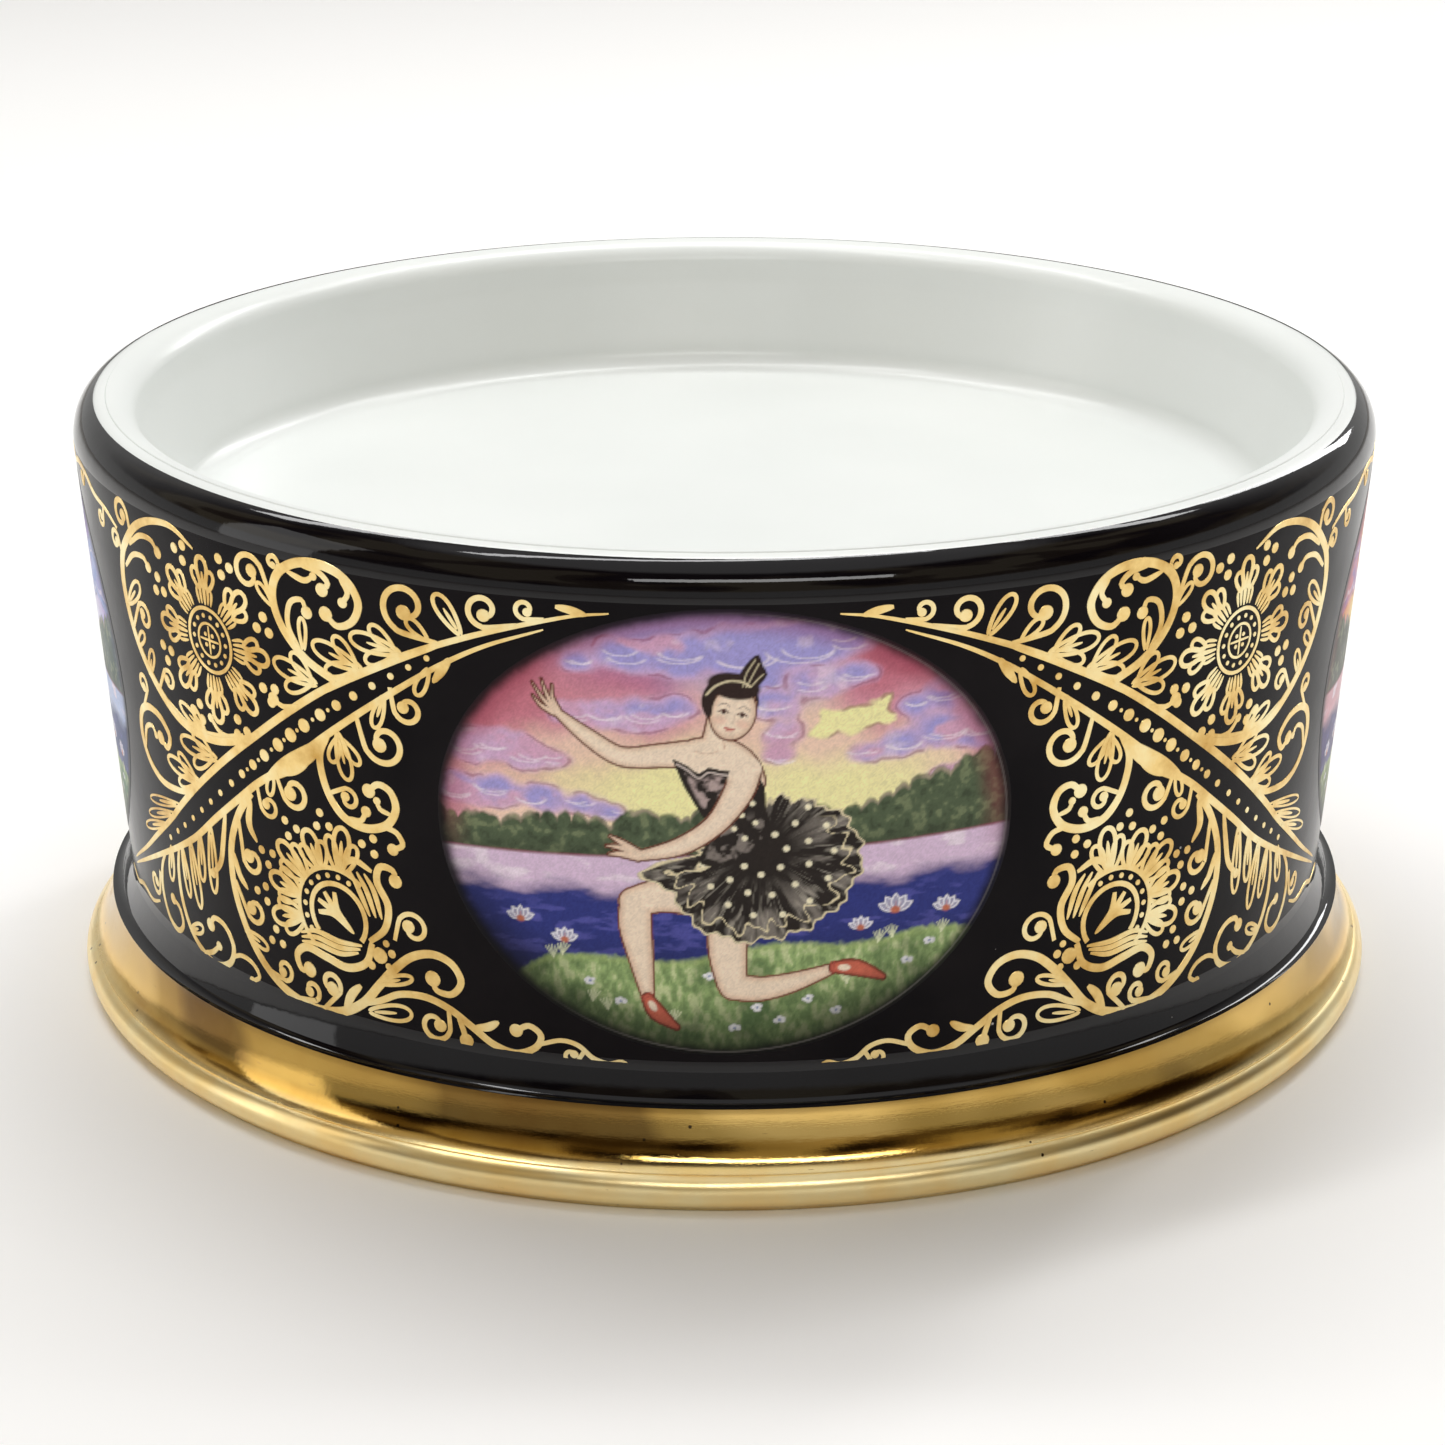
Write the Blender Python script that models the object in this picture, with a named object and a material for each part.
"""Round black-glazed porcelain bowl on a gilt base, with painted medallions and gold filigree.

Units are metres, +Z is up. The origin is the middle of the foot's resting plane, and -Y is the
front, where the first medallion faces. Every round piece is turned about Z.
"""
import math

import bmesh
import bpy
from mathutils import Vector

MM = 0.001

# Driving dimensions
SHOULDER_R = 70.0 * MM          # widest radius of the black wall
SHOULDER_Z = 61.6 * MM          # height at which the wall starts to round over
BODY_TOP_Z = 65.6 * MM          # crest of the rim
WAIST_R = 66.3 * MM             # wall radius just above the cove
WAIST_Z = 14.0 * MM
COVE_R = 68.6 * MM              # where the flared cove meets the gilt base
BASE_TOP_Z = 10.0 * MM          # top of the gilt base
FLOOR_Z = 50.7 * MM             # upper face of the raised bowl floor
FLOOR_R = 57.5 * MM             # flat part of the bowl floor
BEAD_R = 71.9 * MM              # widest radius of the gilt bead, and of the object
FOOT_R = 70.3 * MM              # outer radius of the flat foot

GAP = 0.3 * MM                  # between faces that touch on the real object
COAT_THICKNESS = 0.5 * MM
TRANSFER_THICKNESS = 0.2 * MM
RIM_CREST_R = 66.5 * MM         # crest of the rim, and centre of its rounding
COAT_EDGE_ANGLE = 68.2          # degrees round the shoulder where the black coat ends
RIM_STEP_ANGLE = 74.0           # degrees round the shoulder where the white rim begins

CAVITY_R = 62.5 * MM            # hollow under the floor
FLOOR_UNDERSIDE_Z = 47.2 * MM
CAVITY_FILLET = 5.0 * MM

SEAT_R = 62.3 * MM              # bore of the gilt base
RECESS_R = 64.5 * MM            # recess that takes the bottom cover
RECESS_Z = 2.6 * MM
COVER_THICKNESS = 1.5 * MM

MEDALLION_HALF_WIDTH = 28.2 * MM    # measured round the wall
MEDALLION_HALF_HEIGHT = 23.3 * MM
MEDALLION_Z = 38.0 * MM
FILIGREE_TOP_Z = 61.4 * MM
FILIGREE_BOTTOM_Z = 14.2 * MM
FILIGREE_TIP = 6.5 * MM             # distance of its ends from a medallion's centre line
MEDALLION_CLEARANCE = 1.2 * MM

STEPS = 72                      # facets round every turned piece
PANEL_COLUMNS = 14
PANEL_ROWS = 16
MEDALLION_RINGS = 3
MEDALLION_SIDES = 28


def clear_scene():
    for item in list(bpy.data.objects):
        bpy.data.objects.remove(item, do_unlink=True)


def make_material(name, colour, roughness, metallic=0.0):
    material = bpy.data.materials.new(name)
    material.use_nodes = True
    shader = material.node_tree.nodes["Principled BSDF"]
    shader.inputs["Base Color"].default_value = (*colour, 1.0)
    shader.inputs["Roughness"].default_value = roughness
    shader.inputs["Metallic"].default_value = metallic
    return material


def add_object(name, mesh, material):
    item = bpy.data.objects.new(name, mesh)
    item.data.materials.append(material)
    bpy.context.scene.collection.objects.link(item)
    mesh.shade_smooth()
    mesh.set_sharp_from_angle(angle=math.radians(35))
    return item


def turned(name, profile, closed, material):
    """A piece of revolution: profile is (radius, height) down the outer side."""
    mesh = bpy.data.meshes.new(name)
    points = [(radius, 0.0, height) for radius, height in profile]
    edges = [(i, i + 1) for i in range(len(points) - 1)]
    if closed:
        edges.append((len(points) - 1, 0))
    mesh.from_pydata(points, edges, [])
    item = add_object(name, mesh, material)
    screw = item.modifiers.new("turn", "SCREW")
    screw.axis = "Z"
    screw.angle = math.tau
    screw.steps = STEPS
    screw.render_steps = STEPS
    screw.use_merge_vertices = True
    screw.merge_threshold = 0.01 * MM
    screw.use_smooth_shade = True
    return item


def arc(centre_r, centre_z, radius_r, radius_z, start, end, count):
    """Points on an elliptical arc, angles in degrees from the outward direction."""
    angles = [math.radians(start + (end - start) * i / (count - 1)) for i in range(count)]
    return [(centre_r + radius_r * math.cos(a), centre_z + radius_z * math.sin(a)) for a in angles]


def offset_inwards(profile, distance):
    """Move a profile that runs down the outer side towards the axis, along its normals."""
    moved = []
    for i, point in enumerate(profile):
        before = Vector(profile[max(i - 1, 0)])
        after = Vector(profile[min(i + 1, len(profile) - 1)])
        along = (after - before).normalized()
        moved.append((point[0] + along.y * distance, point[1] - along.x * distance))
    return moved


def shoulder(start, end, count):
    return arc(RIM_CREST_R, SHOULDER_Z, SHOULDER_R - RIM_CREST_R, BODY_TOP_Z - SHOULDER_Z,
               start, end, count)


def wall_radius(height):
    """Outer radius of the black wall between the cove and the shoulder."""
    share = (height - WAIST_Z) / (SHOULDER_Z - WAIST_Z)
    return WAIST_R + (SHOULDER_R - WAIST_R) * share


def wall_profile():
    """Outer face of the black coat, from the rim down to the gilt base."""
    foot_z = BASE_TOP_Z + GAP
    flare = COVE_R - WAIST_R
    drop = WAIST_Z - foot_z
    turns = [math.radians(90 * i / 4) for i in range(5)]
    cove = [(WAIST_R + flare * (1 - math.cos(t)), WAIST_Z - drop * math.sin(t)) for t in turns]
    return shoulder(COAT_EDGE_ANGLE, 0.0, 5) + cove


def make_porcelain_body(material):
    inside = [(0.0, FLOOR_Z), (FLOOR_R, FLOOR_Z)]
    inside += arc(FLOOR_R, FLOOR_Z + 2.7 * MM, 2.7 * MM, 2.7 * MM, -60.0, 0.0, 3)
    inside += [(63.0 * MM, 61.8 * MM)]
    inside += arc(RIM_CREST_R, 63.0 * MM, 2.6 * MM, 2.6 * MM, 160.0, 110.0, 3)
    rim = shoulder(90.0, RIM_STEP_ANGLE, 2)
    under_coat = offset_inwards(wall_profile(), COAT_THICKNESS + GAP)
    under_coat[-1] = (under_coat[-1][0], BASE_TOP_Z + GAP)
    cavity_foot = [(CAVITY_R, BASE_TOP_Z + GAP)]
    ceiling = arc(CAVITY_R - CAVITY_FILLET, FLOOR_UNDERSIDE_Z - CAVITY_FILLET,
                  CAVITY_FILLET, CAVITY_FILLET, 0.0, 90.0, 4)
    profile = inside + rim + under_coat + cavity_foot + ceiling + [(0.0, FLOOR_UNDERSIDE_Z)]
    return turned("porcelain_body", profile, False, material)


def make_black_glaze_coat(material):
    outside = wall_profile()
    inside = offset_inwards(outside, COAT_THICKNESS)
    inside[-1] = (inside[-1][0], outside[-1][1])
    return turned("black_glaze_coat", outside + inside[::-1], True, material)


def make_gilt_base(material):
    top = [(SEAT_R, BASE_TOP_Z), (COVE_R, BASE_TOP_Z)]
    slope = [(69.5 * MM, 7.6 * MM), (71.0 * MM, 4.2 * MM)]
    bead = arc(69.9 * MM, 2.4 * MM, BEAD_R - 69.9 * MM, 1.9 * MM, 48.0, -60.0, 6)
    foot = [(FOOT_R, 0.0), (66.0 * MM, 0.0), (RECESS_R, 0.6 * MM)]
    seat = [(RECESS_R, RECESS_Z), (SEAT_R, RECESS_Z)]
    return turned("gilt_base", top + slope + bead + foot + seat, True, material)


def make_bottom_cover(material):
    radius = RECESS_R - GAP
    top = RECESS_Z - GAP
    bottom = top - COVER_THICKNESS
    chamfer = 0.3 * MM
    profile = [(0.0, top), (radius, top), (radius, bottom + chamfer)]
    profile += [(radius - chamfer, bottom), (0.0, bottom)]
    return turned("bottom_cover", profile, False, material)


def on_wall(along, height, facing):
    """Point just off the black wall: along is the distance round it from the facing angle."""
    middle_r = wall_radius(MEDALLION_Z)
    angle = facing + along / middle_r
    radius = wall_radius(height) + GAP
    return (radius * math.sin(angle), -radius * math.cos(angle), height)


def thicken(item):
    solid = item.modifiers.new("thickness", "SOLIDIFY")
    solid.thickness = TRANSFER_THICKNESS
    solid.offset = 1.0
    solid.use_even_offset = True


def face_outwards(mesh):
    """Turn every face of a thin patch so that it looks away from the axis."""
    work = bmesh.new()
    work.from_mesh(mesh)
    work.normal_update()
    for face in work.faces:
        middle = face.calc_center_median()
        if face.normal.dot(Vector((middle.x, middle.y, 0.0))) < 0.0:
            face.normal_flip()
    work.to_mesh(mesh)
    work.free()


def make_medallion(name, facing, material):
    """An oval transfer wrapped round the wall, meshed as rings about its middle."""
    points = [on_wall(0.0, MEDALLION_Z, facing)]
    for ring in range(1, MEDALLION_RINGS + 1):
        share = ring / MEDALLION_RINGS
        for side in range(MEDALLION_SIDES):
            turn = math.tau * side / MEDALLION_SIDES
            along = MEDALLION_HALF_WIDTH * share * math.cos(turn)
            height = MEDALLION_Z + MEDALLION_HALF_HEIGHT * share * math.sin(turn)
            points.append(on_wall(along, height, facing))
    faces = []
    for side in range(MEDALLION_SIDES):
        following = (side + 1) % MEDALLION_SIDES
        faces.append((0, 1 + side, 1 + following))
        for ring in range(MEDALLION_RINGS - 1):
            inner = 1 + ring * MEDALLION_SIDES
            outer = inner + MEDALLION_SIDES
            faces.append((inner + side, outer + side, outer + following, inner + following))
    mesh = bpy.data.meshes.new(name)
    mesh.from_pydata(points, [], faces)
    face_outwards(mesh)
    item = add_object(name, mesh, material)
    thicken(item)
    return item


def filigree_rows():
    """Heights of the patch's rows, with each row's distance from a medallion's centre line."""
    half_height = MEDALLION_HALF_HEIGHT + MEDALLION_CLEARANCE
    half_width = MEDALLION_HALF_WIDTH + MEDALLION_CLEARANCE
    low = math.asin((FILIGREE_BOTTOM_Z - MEDALLION_Z) / half_height)
    high = math.asin((FILIGREE_TOP_Z - MEDALLION_Z) / half_height)
    turns = [low + (high - low) * row / PANEL_ROWS for row in range(PANEL_ROWS + 1)]
    rows = [(MEDALLION_Z + half_height * math.sin(t), half_width * math.cos(t)) for t in turns]
    return [(height, max(edge, FILIGREE_TIP)) for height, edge in rows]


def make_filigree(name, facing, material):
    """The field of gold filigree between two medallions, as one thin patch."""
    quarter = wall_radius(MEDALLION_Z) * math.tau / 4
    points = []
    for height, edge in filigree_rows():
        for column in range(PANEL_COLUMNS + 1):
            along = edge + (quarter - 2 * edge) * column / PANEL_COLUMNS
            points.append(on_wall(along, height, facing))
    faces = []
    stride = PANEL_COLUMNS + 1
    for row in range(PANEL_ROWS):
        for column in range(PANEL_COLUMNS):
            corner = row * stride + column
            faces.append((corner, corner + 1, corner + 1 + stride, corner + stride))
    mesh = bpy.data.meshes.new(name)
    mesh.from_pydata(points, [], faces)
    face_outwards(mesh)
    item = add_object(name, mesh, material)
    thicken(item)
    return item


def main():
    clear_scene()
    white = make_material("white_glaze", (0.86, 0.89, 0.87), 0.12)
    black = make_material("black_glaze", (0.010, 0.008, 0.010), 0.08)
    enamel = make_material("painted_enamel", (0.36, 0.25, 0.42), 0.18)
    gold_print = make_material("gold_print", (0.80, 0.58, 0.22), 0.30, 1.0)
    gilt = make_material("gilt_metal", (0.86, 0.60, 0.20), 0.12, 1.0)
    board = make_material("dark_board", (0.05, 0.05, 0.05), 0.85)

    make_porcelain_body(white)
    make_black_glaze_coat(black)
    make_gilt_base(gilt)
    make_bottom_cover(board)
    sides = ["front", "right", "back", "left"]
    panels = ["front_right", "back_right", "back_left", "front_left"]
    for quarter in range(4):
        facing = math.tau * quarter / 4
        make_medallion("medallion_" + sides[quarter], facing, enamel)
        make_filigree("gold_filigree_" + panels[quarter], facing, gold_print)


main()
